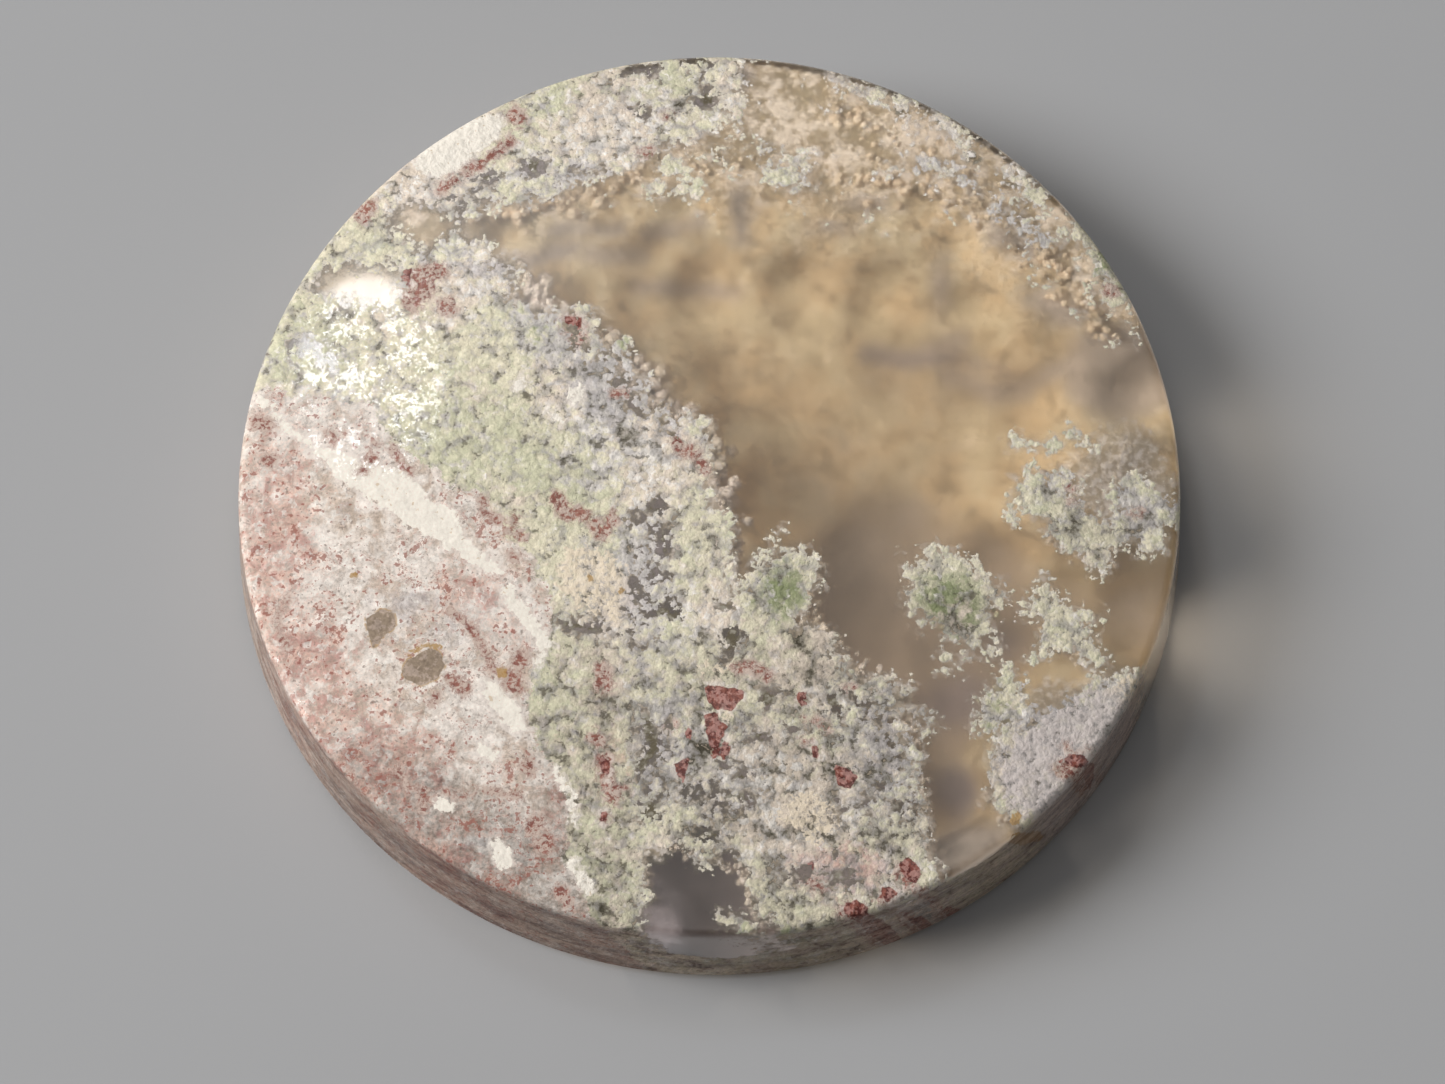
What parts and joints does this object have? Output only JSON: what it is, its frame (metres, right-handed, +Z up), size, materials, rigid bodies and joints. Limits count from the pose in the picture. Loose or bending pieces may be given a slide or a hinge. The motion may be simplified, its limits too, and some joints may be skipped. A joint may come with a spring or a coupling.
{
  "type": "moss agate cabochon",
  "caption": "Round polished moss agate stone with a low domed top, an upright wall and a flat back to set in a bezel or lay on a surface.",
  "frame": {"origin": "centre of the flat back, which the stone rests on", "axes": "+Z up from the back to the crown of the dome; +Y towards the top of the pattern as pictured, +X to its right"},
  "size_m": [0.03, 0.03, 0.005],
  "materials": {
    "agate": "polished translucent chalcedony with sage, cream and pink moss and jasper in it"
  },
  "bodies": {
    "root": {"stone": "agate"}
  },
  "joints": []
}
